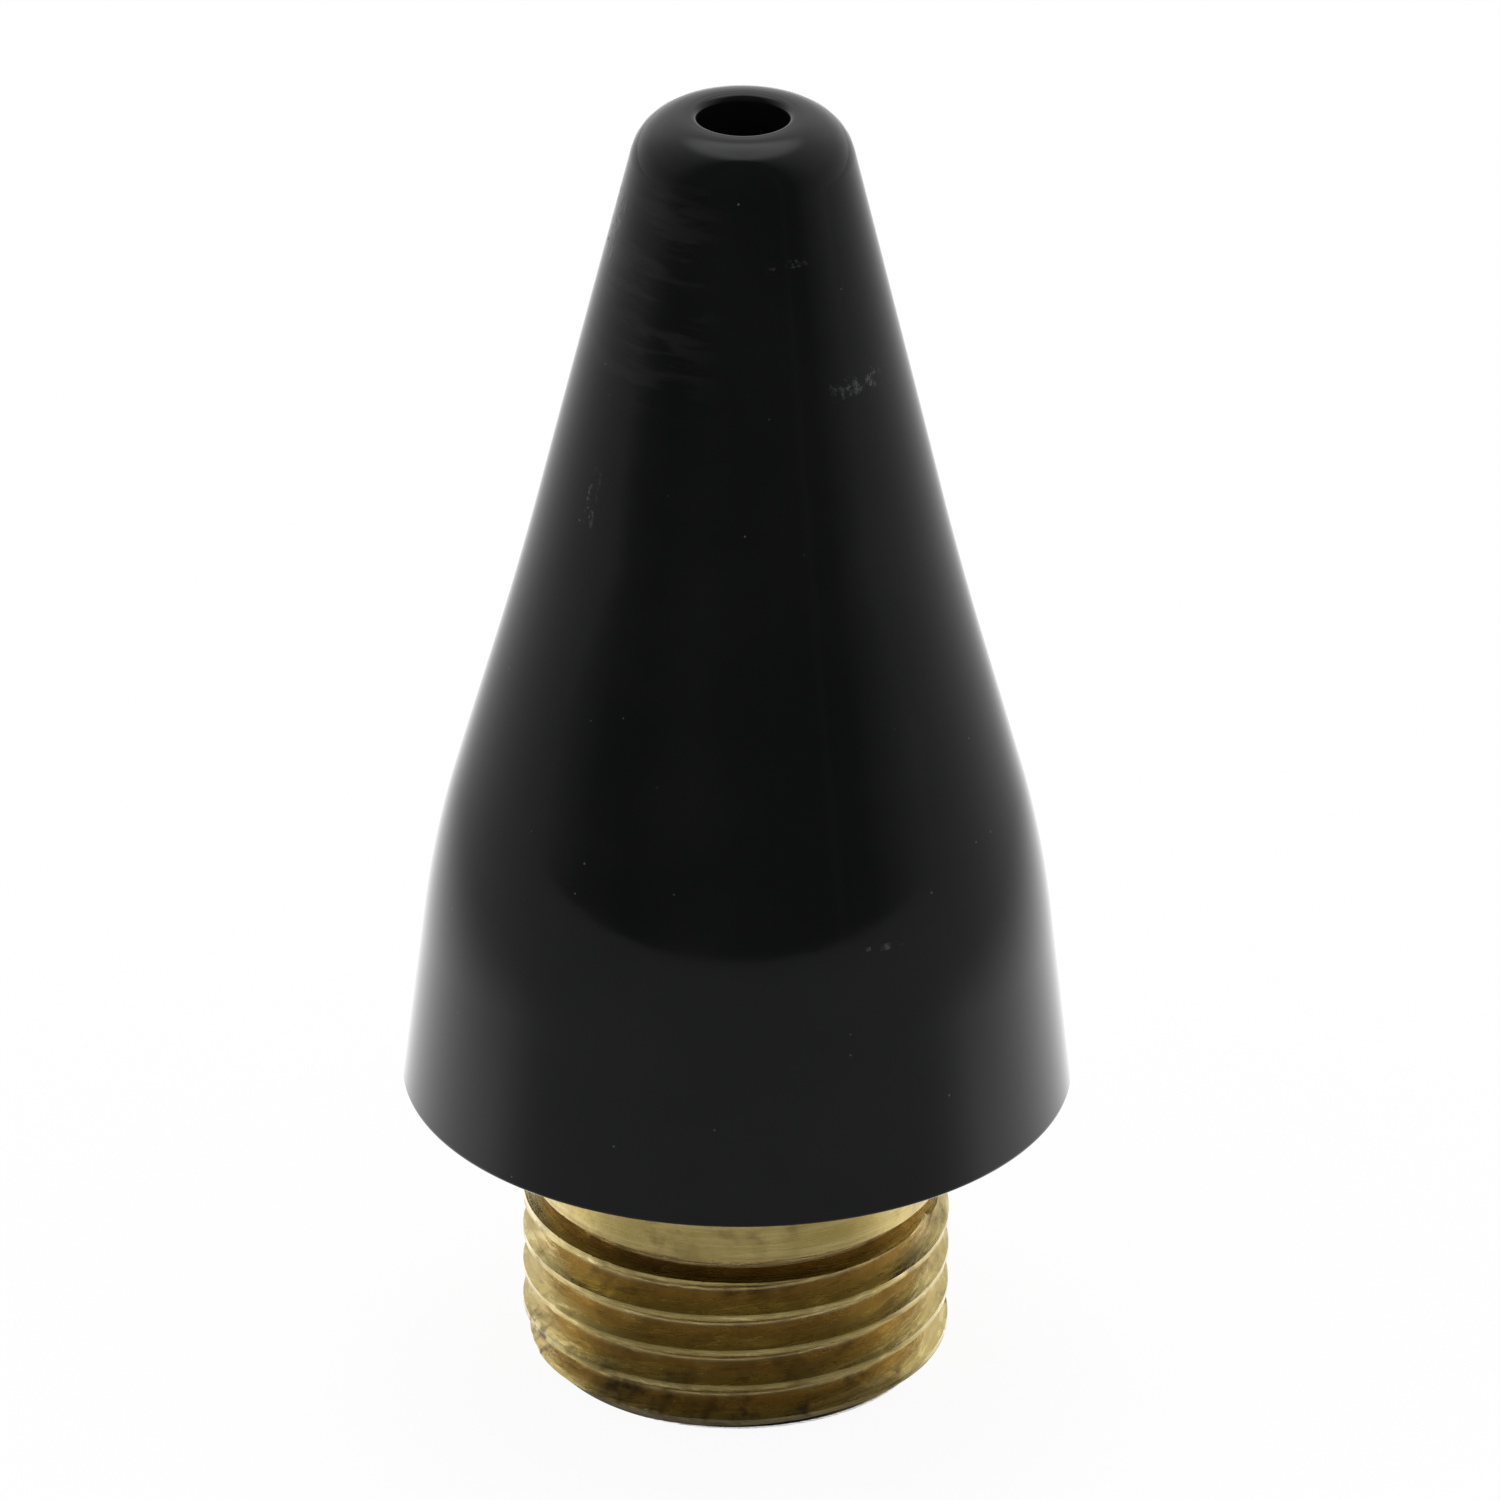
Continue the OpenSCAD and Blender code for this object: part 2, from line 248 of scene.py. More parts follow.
def tidy_mesh(piece, sharp):
    """Merges doubled points, drops empty faces, and shades the piece smooth up to the sharp angle."""
    merge = 0.0004 * MM
    work = bmesh.new()
    work.from_mesh(piece.data)
    bmesh.ops.remove_doubles(work, verts=work.verts, dist=merge)
    bmesh.ops.dissolve_degenerate(work, edges=work.edges, dist=merge / 4)
    bmesh.ops.recalc_face_normals(work, faces=work.faces)
    work.to_mesh(piece.data)
    work.free()
    piece.data.shade_smooth()
    piece.data.set_sharp_from_angle(angle=math.radians(sharp))


def finish_piece(piece, body, slot, material, *nodes):
    """Rides the piece on its body, gives it its material, and hides the CAD nodes that it stands for."""
    piece.data.materials.clear()
    piece.data.materials.append(material)
    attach(piece, body)
    if nodes:
        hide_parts(*nodes)
    return piece


def thread_depth(t, mouth, flank, depth):
    """How deep a groove is at the distance t from its middle. Its root is rounded."""
    half = mouth / 2
    sharp_depth = half / math.tan(flank)
    root = (sharp_depth - depth) / (1 / math.sin(flank) - 1)
    touch = root * math.cos(flank)
    arc_middle = sharp_depth - root / math.sin(flank)
    arc = arc_middle + np.sqrt(np.maximum(root ** 2 - np.minimum(t, touch) ** 2, 0))
    flat = (half - t) / math.tan(flank)
    return np.where(t < touch, arc, np.maximum(flat, 0))


def thread_offsets(pitch, mouth, middle, per_flank=7):
    """Heights of the rows within one pitch: close together at the crest's edges."""
    half, crest = mouth / 2, (pitch - mouth) / 2
    groove = [half * k / per_flank for k in range(1, per_flank + 1)]
    one_side = groove + [half - 0.012, half + 0.012, half + crest * 0.5]
    both = [middle + side * d for d in one_side for side in (1, -1)] + [middle, middle + half + crest]
    return sorted(set(round(h % pitch, 6) for h in both))


# ---------------------------------------------------------------- material tools

class Graph:
    """A material under construction: its nodes, and the shader that they feed."""

    def __init__(self, name):
        self.material = bpy.data.materials.new(name)
        self.material.use_nodes = True
        self.tree = self.material.node_tree
        self.shader = self.tree.nodes["Principled BSDF"]
        coordinates = self.add("ShaderNodeTexCoord")
        self.place = self.vector("MULTIPLY", coordinates.outputs["Object"], (1 / MM, 1 / MM, 1 / MM))
        split = self.add("ShaderNodeSeparateXYZ")
        self.link(self.place, split.inputs[0])
        self.x, self.y, self.z = split.outputs
        x_squared = self.math("MULTIPLY", self.x, self.x)
        y_squared = self.math("MULTIPLY", self.y, self.y)
        self.radius = self.math("SQRT", self.math("ADD", x_squared, y_squared))
        self.angle = self.math("ARCTAN2", self.y, self.x)

    def add(self, kind, **settings):
        node = self.tree.nodes.new(kind)
        for key, value in settings.items():
            setattr(node, key, value)
        return node

    def link(self, source, target):
        if hasattr(source, "is_linked"):
            self.tree.links.new(source, target)
        else:
            target.default_value = source

    def math(self, operation, a, b=0.0, clamp=False):
        node = self.add("ShaderNodeMath", operation=operation, use_clamp=clamp)
        for value, socket in zip((a, b), node.inputs):
            self.link(value, socket)
        return node.outputs[0]

    def vector(self, operation, a, b):
        node = self.add("ShaderNodeVectorMath", operation=operation)
        self.link(a, node.inputs[0])
        self.link(b, node.inputs[1])
        return node.outputs[0]

    def combine(self, x, y, z):
        node = self.add("ShaderNodeCombineXYZ")
        for value, socket in zip((x, y, z), node.inputs):
            self.link(value, socket)
        return node.outputs[0]

    def stretched(self, across, along):
        """Coordinates that vary slowly round the axis and fast along the profile, for turning marks."""
        fast = self.math("MULTIPLY", self.math("ADD", self.z, self.radius), along)
        slow_x = self.math("MULTIPLY", self.x, across)
        slow_y = self.math("MULTIPLY", self.y, across)
        return self.combine(slow_x, slow_y, fast)

    def noise(self, scale, detail=3.0, rough=0.55, vector=None, offset=0.0):
        node = self.add("ShaderNodeTexNoise", noise_dimensions="4D")
        self.link(self.place if vector is None else vector, node.inputs["Vector"])
        node.inputs["W"].default_value = offset
        node.inputs["Scale"].default_value = scale
        node.inputs["Detail"].default_value = detail
        node.inputs["Roughness"].default_value = rough
        return node.outputs["Fac"]

    def cells(self, scale):
        """The distance to the middle of the nearest cell."""
        node = self.add("ShaderNodeTexVoronoi", feature="F1")
        self.link(self.place, node.inputs["Vector"])
        node.inputs["Scale"].default_value = scale
        return node.outputs["Distance"]

    def fit(self, value, low, high, to_low=0.0, to_high=1.0, smooth=True):
        node = self.add("ShaderNodeMapRange", interpolation_type="SMOOTHSTEP" if smooth else "LINEAR")
        for socket, number in zip(node.inputs[:5], (value, low, high, to_low, to_high)):
            self.link(number, socket)
        return node.outputs[0]

    def band(self, value, middle, half, soft):
        """1 near middle, falling to 0 at half plus soft away from it."""
        away = self.math("ABSOLUTE", self.math("SUBTRACT", value, middle))
        return self.fit(away, half, half + soft, 1.0, 0.0)

    def mix(self, factor, a, b):
        node = self.add("ShaderNodeMix", data_type="RGBA")
        self.link(factor, node.inputs["Factor"])
        for value, socket in ((a, node.inputs["A"]), (b, node.inputs["B"])):
            sockets = [s for s in node.inputs if s.name == socket.name and s.type == "RGBA"]
            self.link((*value, 1.0) if isinstance(value, tuple) else value, sockets[0])
        return [s for s in node.outputs if s.type == "RGBA"][0]

    def tint(self, colour, where, share, to):
        """Mixes in the colour to, by the share given where the mask is 1."""
        return self.mix(self.math("MULTIPLY", where, share), colour, to)

    def bump(self, height, distance, strength=1.0, normal=None):
        node = self.add("ShaderNodeBump")
        node.inputs["Strength"].default_value = strength
        node.inputs["Distance"].default_value = distance * MM
        self.link(height, node.inputs["Height"])
        if normal is not None:
            self.link(normal, node.inputs["Normal"])
        return node.outputs["Normal"]

    def feed(self, **inputs):
        """Links or sets the shader's inputs, named with underscores for spaces."""
        for key, value in inputs.items():
            socket = self.shader.inputs[key.replace("_", " ")]
            self.link((*value, 1.0) if isinstance(value, tuple) and len(value) == 3 else value, socket)
        return self.material


def black_plastic():
    """High-gloss black moulding, with dust, scuffs near the tip and a few light scratches."""
    g = Graph("black_plastic")
    polish = g.noise(0.35, 2.0)
    flattened = g.vector("MULTIPLY", g.place, (0.45, 0.45, 2.6))
    rings = g.noise(1.0, 3.0, vector=flattened, offset=4.0)
    blotch = g.noise(4.5, 3.0, 0.7, offset=8.0)

    def spot(angle, z, half_angle, half_z):
        """A soft patch on the shell, at an angle from +X in degrees and a height."""
        across = g.band(g.angle, math.radians(angle), half_angle, half_angle)
        return g.math("MULTIPLY", across, g.band(g.z, z, half_z, half_z))

    worn_tip = spot(-142, 27.6, 0.42, 1.5)
    scuffed = g.math("MULTIPLY", worn_tip, g.fit(rings, 0.47, 0.6))
    marks = 0.0
    for patch in ((-69, 28.36, 0.09, 0.05), (-44, 25.4, 0.13, 0.14), (-141, 22.6, 0.025, 0.4),
                  (-172, 28.4, 0.12, 0.5), (-62, 13.2, 0.05, 0.05)):
        marks = g.math("ADD", marks, spot(*patch))
    marks = g.math("MULTIPLY", marks, g.fit(blotch, 0.5, 0.68), clamp=True)
    dusty = g.fit(g.noise(0.9, 0.0, offset=5.0), 0.5, 0.58)
    dust = g.math("MULTIPLY", g.fit(g.cells(1.5), 0.05, 0.03), dusty)
    colour = g.mix(g.fit(polish, 0.35, 0.7), (0.0040, 0.0043, 0.0045), (0.0054, 0.0056, 0.0058))
    colour = g.tint(colour, scuffed, 0.35, (0.019, 0.019, 0.020))
    colour = g.tint(colour, marks, 0.42, (0.11, 0.115, 0.12))
    colour = g.tint(colour, dust, 0.55, (0.10, 0.105, 0.11))
    rough = g.fit(polish, 0.3, 0.75, 0.055, 0.095)
    rough = g.math("ADD", rough, g.math("MULTIPLY", scuffed, 0.07))
    rough = g.math("ADD", rough, g.math("MULTIPLY", marks, 0.3), clamp=True)
    peel = g.bump(g.noise(2.2, 2.0, offset=1.0), 0.002, 0.3)
    worn = g.bump(g.math("MULTIPLY", worn_tip, rings), 0.014, 0.5, peel)
    worn = g.bump(marks, 0.012, 0.6, worn)
    return g.feed(Base_Color=colour, Roughness=rough, Normal=worn, IOR=1.215)


def turned_brass(name="turned_brass"):
    """Turned brass with circular tool marks, dark streaks in the thread, light streaks painted in as
    highlights, and brown tarnish.
    """
    g = Graph(name)
    marks = g.noise(1.0, 4.0, 0.6, vector=g.stretched(0.2, 7.0))
    fine = g.noise(1.0, 2.0, 0.5, vector=g.stretched(0.45, 26.0), offset=3.0)
    cloud = g.noise(0.55, 4.0, 0.6, offset=7.0)
    blot = g.noise(1.4, 3.0, 0.62, offset=11.0)
    threaded = g.fit(g.z, COLLAR_Z + 0.02, COLLAR_Z - 0.06)
    depth = g.math("MULTIPLY", threaded, g.fit(g.radius, PIPE_R - 0.03, PIPE_R - 0.5))
    low = g.fit(g.z, 2.4, 0.2)
    colour = g.mix(g.fit(cloud, 0.35, 0.68), (0.28, 0.215, 0.068), (0.34, 0.265, 0.10))
    colour = g.tint(colour, g.fit(marks, 0.42, 0.68), 0.55, (0.43, 0.355, 0.17))
    colour = g.tint(colour, threaded, 0.75, (0.33, 0.262, 0.098))
    colour = g.tint(colour, depth, 0.8, (0.42, 0.30, 0.13))
    streaks = g.noise(1.0, 5.0, 0.7, vector=g.stretched(0.75, 9.0), offset=15.0)
    # light: streaks of brighter colour along the thread, a painted highlight standing in for glints on the
    # flanks; dark: darker streaks of tone
    light = g.math("MULTIPLY", g.fit(streaks, 0.52, 0.66), threaded)
    dark = g.math("MULTIPLY", g.fit(streaks, 0.46, 0.34), threaded)
    # the painted highlight's colour for the light streaks
    colour = g.tint(colour, light, 0.6, (0.58, 0.49, 0.25))
    colour = g.tint(colour, dark, 0.6, (0.15, 0.105, 0.045))
    stain = g.math("MULTIPLY", g.fit(blot, 0.46, 0.66), g.fit(cloud, 0.36, 0.6))
    heavier_low = g.math("ADD", g.math("MULTIPLY", low, 0.6), 0.36)
    stain = g.math("MULTIPLY", stain, heavier_low, clamp=True)
    colour = g.mix(stain, colour, (0.045, 0.03, 0.014))
    rough = g.math("ADD", g.fit(fine, 0.3, 0.7, 0.2, 0.34), g.fit(streaks, 0.35, 0.65, 0.08, -0.04))
    rough = g.math("ADD", rough, g.math("MULTIPLY", stain, 0.25), clamp=True)
    lines = g.bump(marks, 0.024, 0.6)
    lines = g.bump(streaks, 0.03, 0.6, lines)
    lines = g.bump(fine, 0.006, 0.6, lines)
    lines = g.bump(blot, 0.035, 0.5, lines)
    return g.feed(Base_Color=colour, Roughness=rough, Normal=lines, Metallic=1.0)


def rubber():
    """Black O-ring rubber with a fine grain and a dusty bloom."""
    g = Graph("seal_rubber")
    grain = g.noise(14.0, 3.0, 0.6)
    bloom = g.fit(g.noise(1.3, 3.0, offset=2.0), 0.45, 0.7)
    colour = g.mix(bloom, (0.010, 0.010, 0.011), (0.028, 0.028, 0.030))
    rough = g.fit(grain, 0.3, 0.7, 0.42, 0.6)
    return g.feed(Base_Color=colour, Roughness=rough, Normal=g.bump(grain, 0.008, 0.6))


def sintered():
    """Sintered bronze: fused round grains with dark pores between them."""
    g = Graph("sintered_bronze")
    grains = g.cells(4.5)
    pores = g.fit(grains, 0.32, 0.62)
    tone = g.noise(1.6, 3.0, offset=3.0)
    colour = g.mix(g.fit(tone, 0.3, 0.7), (0.34, 0.20, 0.08), (0.50, 0.33, 0.15))
    colour = g.mix(pores, colour, (0.035, 0.02, 0.01))
    rough = g.fit(pores, 0.0, 1.0, 0.38, 0.75)
    return g.feed(Base_Color=colour, Roughness=rough, Metallic=1.0,
                  Normal=g.bump(g.math("SUBTRACT", 1.0, pores), 0.05, 0.8))


def plated():
    """Zinc-plated steel, pressed, with circular brush marks and dulled patches."""
    g = Graph("plated_steel")
    brush = g.noise(1.0, 3.0, 0.6, vector=g.stretched(0.4, 16.0))
    dull = g.noise(0.8, 3.0, offset=5.0)
    colour = g.mix(g.fit(dull, 0.35, 0.68), (0.54, 0.55, 0.57), (0.40, 0.41, 0.43))
    rough = g.fit(dull, 0.3, 0.7, 0.26, 0.42)
    return g.feed(Base_Color=colour, Roughness=rough, Metallic=1.0, Normal=g.bump(brush, 0.006, 0.6))


def spring_wire():
    """Drawn spring steel, with marks along the wire and a faint straw tint."""
    g = Graph("spring_steel")
    drawn = g.noise(1.0, 3.0, 0.6, vector=g.stretched(0.6, 22.0))
    tint = g.noise(0.7, 2.0, offset=6.0)
    colour = g.mix(g.fit(tint, 0.35, 0.7), (0.42, 0.43, 0.45), (0.40, 0.35, 0.27))
    rough = g.fit(drawn, 0.3, 0.7, 0.22, 0.36)
    return g.feed(Base_Color=colour, Roughness=rough, Metallic=1.0, Normal=g.bump(drawn, 0.006, 0.6))


def felt():
    """Pressed wool felt: pale fibres, slightly uneven in tone."""
    g = Graph("felt")
    fibres = g.noise(9.0, 6.0, 0.72)
    warped = g.vector("ADD", g.place, g.combine(fibres, g.noise(9.0, 3.0, offset=9.0), fibres))
    strands = g.noise(6.0, 5.0, 0.75, vector=warped, offset=1.0)
    tone = g.noise(0.6, 2.0, offset=4.0)
    colour = g.mix(g.fit(strands, 0.35, 0.65), (0.50, 0.47, 0.40), (0.70, 0.68, 0.61))
    colour = g.tint(colour, g.fit(tone, 0.4, 0.7), 0.3, (0.45, 0.41, 0.33))
    rough = g.fit(strands, 0.3, 0.7, 0.85, 0.97)
    return g.feed(Base_Color=colour, Roughness=rough, Normal=g.bump(strands, 0.05, 0.8))


def nylon():
    """Natural nylon, milky and slightly waxy, with mould marks."""
    g = Graph("nylon")
    cloud = g.noise(1.2, 3.0)
    swirl = g.noise(1.0, 2.0, vector=g.stretched(0.6, 12.0), offset=2.0)
    colour = g.mix(g.fit(cloud, 0.35, 0.7), (0.70, 0.68, 0.60), (0.78, 0.77, 0.71))
    rough = g.fit(cloud, 0.3, 0.7, 0.32, 0.45)
    return g.feed(Base_Color=colour, Roughness=rough, Normal=g.bump(swirl, 0.004, 0.5))


# ---------------------------------------------------------------- the shell

def shell_outline():
    """The shell's outer outline from the foot to the tip, and its inner one back down to the thread."""
    shoulder_r = BASE_R - SHOULDER_H * math.tan(SKIRT_ANGLE)
    waist_r = shoulder_r - (WAIST_H - SHOULDER_H) * math.tan(SHOULDER_ANGLE)
    outer = [
        (SKIRT_BORE_R, BASE_Z, FOOT_ROUND),
        (BASE_R, BASE_Z, FOOT_ROUND),
        (shoulder_r, BASE_Z + SHOULDER_H, SHOULDER_BLEND),
        (waist_r, BASE_Z + WAIST_H, WAIST_BLEND),
        (TIP_R, TIP_Z, TIP_ROUND),
        (OUTLET_R, TIP_Z, OUTLET_ROUND)]
    inner = [
        (OUTLET_R, SCREEN_HIGH),
        (SCREEN_R + SLIP, SCREEN_HIGH),
        (SCREEN_R + SLIP, SCREEN_LOW),
        (THROAT_R, THRUST_HIGH, 0.1),
        (SPRING_BORE_R, THRUST_HIGH),
        (SPRING_BORE_R, RETAINER_LOW + SPRING_BORE_RISE, CAVITY_ROUND),
        (CAVITY_R, RETAINER_HIGH + 2 * TURN_GAP, CAVITY_ROUND),
        (CAVITY_R, SLEEVE_LOW),
        (HEAD_R + FLANK_GAP + SLIP, SLEEVE_LOW),
        (HEAD_R + FLANK_GAP + SLIP, SHELL_THREAD_HIGH)]
    return outer, inner


def build_shell():
    outer, inner = shell_outline()
    crest_r = HEAD_R - HEAD_DEPTH + TURN_GAP
    mouth_r = crest_r - 0.05  # the groove's flanks start inside the crest, which cuts them off
    mouth = CREST_FLAT + 2 * (HEAD_R - mouth_r) * math.tan(HEAD_FLANK) + 2 * FLANK_GAP
    middle = (HEAD_GROOVE_Z - HEAD_PITCH / 2) % HEAD_PITCH
    depth = HEAD_R + FLANK_GAP - mouth_r

    def radius_at(z, angle):
        t = (z - middle - HEAD_PITCH * angle / (2 * math.pi)) % HEAD_PITCH
        t = np.minimum(t, HEAD_PITCH - t)
        return np.maximum(mouth_r + thread_depth(t, mouth, HEAD_FLANK, depth), crest_r)

    thread_ends = [(crest_r, SHELL_THREAD_HIGH), (crest_r, SHELL_THREAD_LOW)]
    loop = rounded(outer + inner + thread_ends + [(SKIRT_BORE_R, SHELL_THREAD_LOW)])
    split = next(i for i, point in enumerate(loop) if np.allclose(point, thread_ends[0], rtol=0, atol=1e-6))
    thread = threaded_grid(SHELL_THREAD_LOW, SHELL_THREAD_HIGH, HEAD_PITCH,
                           thread_offsets(HEAD_PITCH, mouth, middle, 4), radius_at, downward=True)
    grids = [turned_grid(loop[:split]), thread, turned_grid(loop[split + 2:])]
    shell = mesh_piece("shell_moulding", grids)
    return finish_piece(shell, SHELL, "black_shell", black_plastic(), "nose_shell")


# ---------------------------------------------------------------- the spigot

CREST_DISH = 0.014
NICK_H = 0.13
NICKS = []
picker = random.Random(7)
for _ in range(150):
    NICKS.append((picker.uniform(0, 2 * math.pi), picker.uniform(0.3, PIPE_LEN), picker.uniform(0.006, 0.03),
                  picker.uniform(0.07, 0.2)))


def nicks(z, angle):
    """Small dents in the thread, as depths at the heights z."""
    depth = np.zeros_like(z)
    for at_angle, at_z, deep, wide in NICKS:
        round_way = (angle - at_angle + math.pi) % (2 * math.pi) - math.pi
        if abs(round_way) * PIPE_R < 3 * wide:
            depth += deep * np.exp(-(round_way * PIPE_R / wide) ** 2 - ((z - at_z) / NICK_H) ** 2)
    return depth


def ramped(z, points):
    """A radius that runs straight between (height, radius) points."""
    heights, radii = zip(*points)
    return np.interp(z, heights, radii)


def build_spigot():
    pipe_mouth = PIPE_PITCH - CREST_FLAT
    head_mouth = HEAD_PITCH - CREST_FLAT
    pipe_top = COLLAR_Z + 0.5
    run_out, run_out_z = 0.27, COLLAR_Z - 0.18
    run_in, run_in_z = 0.2, HEAD_GROOVE_Z + 0.05
    relief = RELIEF_W / 4
    pipe_edges = [PIPE_LEAD, PIPE_LEN, PIPE_LEN + relief, COLLAR_Z - relief, COLLAR_Z]

    def pipe_radius(z, angle):
        body = ramped(z, [(0, PIPE_R - PIPE_LEAD), (PIPE_LEAD, PIPE_R), (PIPE_LEN, PIPE_R),
                          (PIPE_LEN + relief, RELIEF_R), (COLLAR_Z - relief, RELIEF_R),
                          (COLLAR_Z, COLLAR_R), (pipe_top, COLLAR_R)])
        climbed = z - PIPE_GROOVE_Z - PIPE_PITCH * angle / (2 * math.pi)
        t = climbed % PIPE_PITCH
        t = np.minimum(t, PIPE_PITCH - t)
        middle = z + np.where(climbed % PIPE_PITCH < PIPE_PITCH / 2, -t, t)
        lift = np.clip((middle - run_out_z + run_out) / run_out, 0, 1) * PIPE_DEPTH
        dish = CREST_DISH * np.clip(1 - ((PIPE_PITCH / 2 - t) * 2 / CREST_FLAT) ** 2, 0, 1)
        cut = np.minimum(PIPE_R - thread_depth(t, pipe_mouth, PIPE_FLANK, PIPE_DEPTH) + lift, PIPE_R) - dish
        return np.minimum(body, cut) - nicks(z, angle)

    def head_radius(z, angle):
        body = ramped(z, [(HEAD_Z, HEAD_R), (HEAD_TOP_Z - HEAD_CHAMFER, HEAD_R),
                          (HEAD_TOP_Z, HEAD_R - HEAD_CHAMFER)])
        climbed = z - HEAD_GROOVE_Z - HEAD_PITCH * angle / (2 * math.pi)
        t = climbed % HEAD_PITCH
        t = np.minimum(t, HEAD_PITCH - t)
        middle = z + np.where(climbed % HEAD_PITCH < HEAD_PITCH / 2, -t, t)
        lift = np.clip((run_in_z - middle) / run_in, 0, 1) * HEAD_DEPTH
        return np.minimum(body, HEAD_R - thread_depth(t, head_mouth, HEAD_FLANK, HEAD_DEPTH) + lift)

    bottom = rounded([(INLET_R, INLET_RIM_Z), (INLET_R, 0, 0.1), (PIPE_R - PIPE_LEAD, 0)])[1:]
    neck = rounded([
        (COLLAR_R, pipe_top),
        (COLLAR_R, FLANGE_Z, 0.05),
        (FLANGE_R, FLANGE_Z, 0.06),
        (FLANGE_R, GLAND_Z, 0.06),
        (GLAND_R, GLAND_Z, 0.08),
        (GLAND_R, HEAD_Z, 0.08),
        (HEAD_R, HEAD_Z)])
    strainer_r = STRAINER_R + FIT_GAP
    snap_r = SNAP_R + FIT_GAP
    snap_w = 0.5
    snap_low, snap_high = STRAINER_HIGH + FIT_GAP, STRAINER_HIGH + 2 * FIT_GAP + snap_w
    inside = rounded([
        (HEAD_R - HEAD_CHAMFER, HEAD_TOP_Z),
        (strainer_r, HEAD_TOP_Z, 0.06),
        (strainer_r, snap_high),
        (snap_r, snap_high),
        (snap_r, snap_low),
        (strainer_r, snap_low),
        (strainer_r, STRAINER_LOW),
        (INLET_R, STRAINER_LOW, 0.05),
        (INLET_R, INLET_RIM_Z)])
    pipe = threaded_grid(0, pipe_top, PIPE_PITCH,
                         thread_offsets(PIPE_PITCH, pipe_mouth, PIPE_GROOVE_Z % PIPE_PITCH, 9),
                         pipe_radius, pipe_edges)
    head = threaded_grid(HEAD_Z, HEAD_TOP_Z, HEAD_PITCH,
                         thread_offsets(HEAD_PITCH, head_mouth, HEAD_GROOVE_Z % HEAD_PITCH, 5),
                         head_radius, [HEAD_TOP_Z - HEAD_CHAMFER])
    grids = [turned_grid(bottom), pipe, turned_grid(neck), head, turned_grid(inside)]
    spigot = mesh_piece("spigot_turning", grids)
    return finish_piece(spigot, ROOT, "turned_brass", turned_brass(), "threaded_spigot")


# ---------------------------------------------------------------- the filter pack

def build_felt():
    """The felt sleeve, with soft edges and an uneven surface of matted fibres."""
    inner_r = TUBE_R + FIT_GAP
    loop = rounded([
        (inner_r, SLEEVE_LOW, 0.08),
        (SLEEVE_R - 0.03, SLEEVE_LOW, 0.3),
        (SLEEVE_R - 0.03, SLEEVE_HIGH, 0.3),
        (inner_r, SLEEVE_HIGH, 0.08)])
    dense = []
    for a, b in zip(loop, loop[1:] + loop[:1]):
        steps = max(1, int(np.linalg.norm(np.array(b) - np.array(a)) / 0.12))
        dense += [np.array(a) + (np.array(b) - np.array(a)) * k / steps for k in range(steps)]
    grid, shift = turned_grid(dense, 200)
    outer = np.hypot(grid[..., 0], grid[..., 1]) > inner_r + 0.1
    end_face = 0.05
    inside = (grid[..., 2] > SLEEVE_LOW + end_face) & (grid[..., 2] < SLEEVE_HIGH - end_face)
    fluff = np.zeros(outer.shape)
    for row, column in zip(*np.nonzero(outer & inside)):
        x, y, z = grid[row, column]
        fluff[row, column] = noise.fractal(Vector((x, y, z)) * 3.0, 0.6, 2.0, 4) * 0.05
    grid[..., :2] *= (1 + np.clip(fluff, -0.08, 0.0) / SLEEVE_R)[..., None]
    sleeve = mesh_piece("felt_sleeve", [(grid, shift)], sharp=180)
    return finish_piece(sleeve, ROOT, "felt", felt(), "absorber_sleeve")


def build_spring():
    """The pack's spring in round wire, with closed ends ground flat."""
    wire_r = WIRE_D / 2
    coil_r = SPRING_R - wire_r
    turns, per_turn, sides = 6, 72, 16
    closed, ground, closed_rise = 1 / turns, wire_r / 2, 2 * wire_r + 0.01
    body_rise = SPRING_HIGH - SPRING_LOW - 2 * closed_rise - 2 * ground
    points, faces = [], []
    count = turns * per_turn
    for i in range(count + 1):
        t = i / count
        steady = min(1, max(0, (t - closed) / (1 - 2 * closed)))
        ends = closed_rise * (min(t, closed) + max(0, t - 1 + closed)) / closed
        z = SPRING_LOW + ground + ends + body_rise * steady
        angle = 2 * math.pi * i / per_turn
        for j in range(sides):
            b = 2 * math.pi * j / sides
            r = coil_r + wire_r * math.cos(b)
            height = min(max(z + wire_r * math.sin(b), SPRING_LOW), SPRING_HIGH)
            points.append((r * math.cos(angle), r * math.sin(angle), height))
    for i in range(count):
        for j in range(sides):
            k = (j + 1) % sides
            faces.append((i * sides + j, (i + 1) * sides + j, (i + 1) * sides + k, i * sides + k))
    faces.append(tuple(range(sides)))
    faces.append(tuple(count * sides + j for j in reversed(range(sides))))
    spring = new_piece("coil_spring", points, faces, sharp=50)
    spring.data.materials.append(spring_wire())
    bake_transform(spring)
    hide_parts("pack_spring")


def dress_nodes():
    """Materials for the CAD nodes that keep their own shapes."""
    steel = plated()
    looks = {
        "shell_seal": rubber(), "inlet_strainer": sintered(), "strainer_ring": steel, "seat_washer": steel,
        "diffuser_tube": steel, "diffuser_plug": turned_brass("plug_brass"), "front_retainer": steel,
        "thrust_washer": nylon(), "outlet_screen": steel}
    for name, material in looks.items():
        node = frame["nodes"][name]
        node.data.materials.clear()
        node.data.materials.append(material)


# ---------------------------------------------------------------- stage, light and camera

FLOOR_R = 0.34


